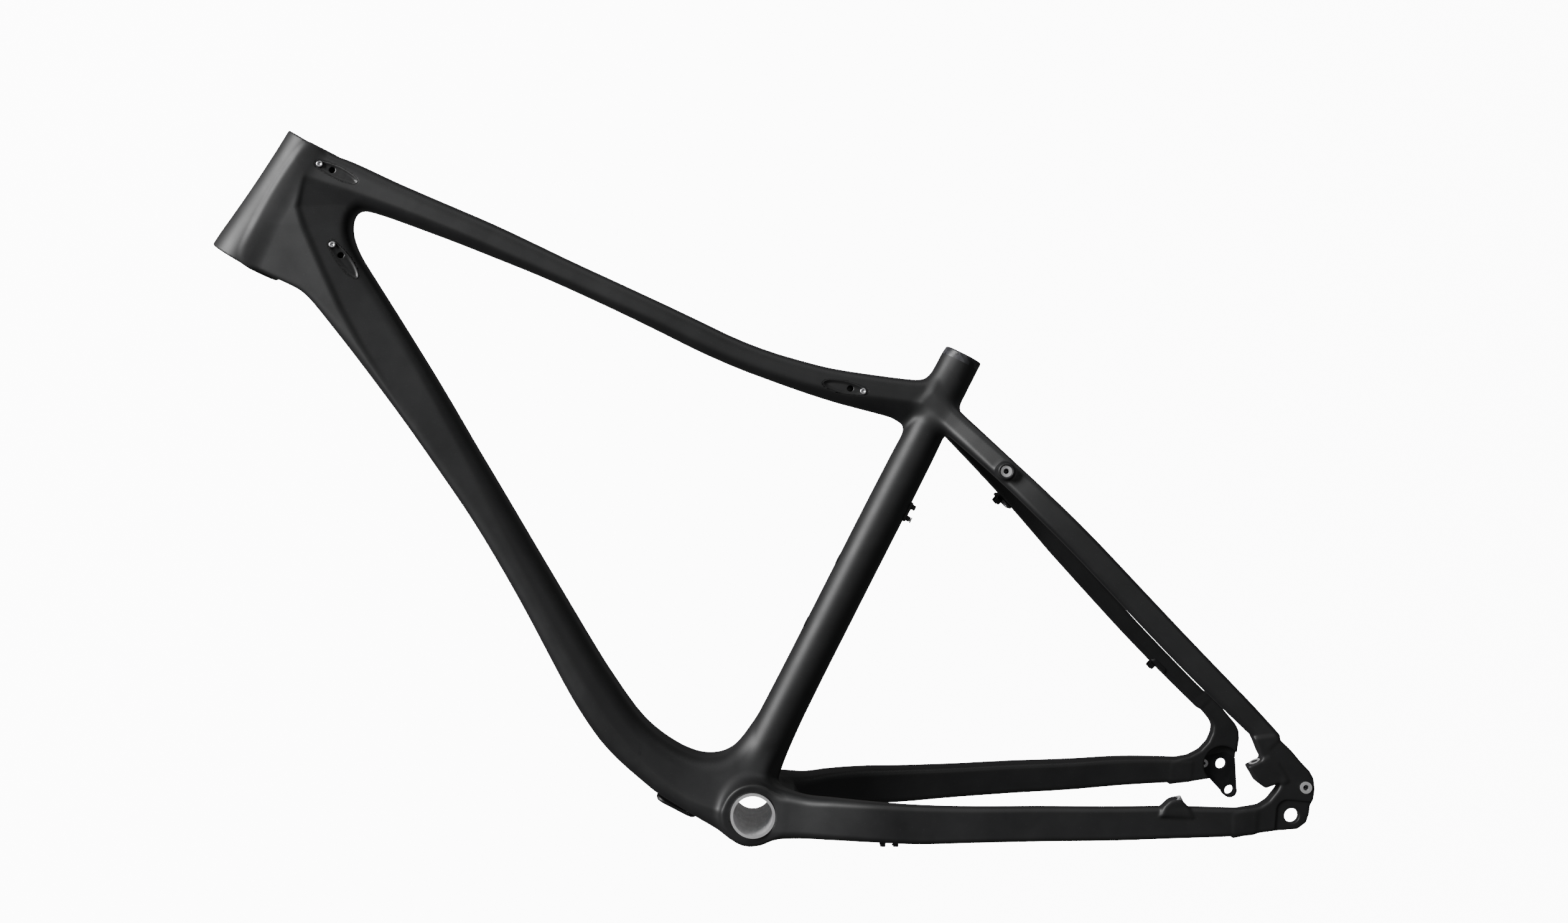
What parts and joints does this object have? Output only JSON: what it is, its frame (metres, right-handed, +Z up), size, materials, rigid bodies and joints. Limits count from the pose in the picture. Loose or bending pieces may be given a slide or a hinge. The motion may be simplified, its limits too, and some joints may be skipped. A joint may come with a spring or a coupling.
{
  "type": "bicycle frame",
  "caption": "Carbon bicycle frame for very wide tyres: tapered head tube, curved down tube, threaded shell, splayed stays and post-mount brake tab.",
  "frame": {"origin": "centre of the bottom bracket shell", "axes": "+X to the rear wheel, +Z up, +Y to the rider's right along the bottom bracket's axis"},
  "size_m": [1.0033, 0.2138, 0.5987],
  "materials": {
    "satin_carbon": "satin black lacquer over carbon laminate",
    "bare_aluminium": "machined",
    "black_anodised": "black anodised",
    "zinc_steel": "bright plated",
    "black_nylon": "moulded, fine grain"
  },
  "bodies": {
    "root": {"bottom_bracket_junction": "satin_carbon", "bottom_bracket_sleeve": "bare_aluminium", "cable_exit_cover": "black_nylon", "chainstay_cable_guide": "black_nylon", "chainstay_left": "satin_carbon", "chainstay_right": "satin_carbon", "chainstay_yoke": "satin_carbon", "derailleur_hanger": "black_anodised", "down_tube": "satin_carbon", "down_tube_bottle_nuts": "black_anodised", "down_tube_port_left": "black_nylon", "down_tube_port_right": "black_nylon", "dropout_eyelet_left": "bare_aluminium", "dropout_eyelet_right": "bare_aluminium", "dropout_left": "satin_carbon", "dropout_right": "satin_carbon", "front_brake_insert": "bare_aluminium", "guide_screws": "zinc_steel", "hanger_bolt": "zinc_steel", "head_tube": "satin_carbon", "lower_bearing_seat": "bare_aluminium", "port_screws": "zinc_steel", "rack_eyelet_left": "bare_aluminium", "rack_eyelet_right": "bare_aluminium", "rear_brake_insert": "bare_aluminium", "seat_tube": "satin_carbon", "seat_tube_bottle_nuts": "black_anodised", "seat_tube_cable_guide": "black_nylon", "seatstay_cable_guides": "black_nylon", "seatstay_left": "satin_carbon", "seatstay_right": "satin_carbon", "seatstay_wishbone": "satin_carbon", "top_tube": "satin_carbon", "top_tube_front_port_left": "black_nylon", "top_tube_front_port_right": "black_nylon", "top_tube_rear_port_left": "black_nylon", "top_tube_rear_port_right": "black_nylon", "upper_bearing_seat": "bare_aluminium"}
  },
  "joints": []
}
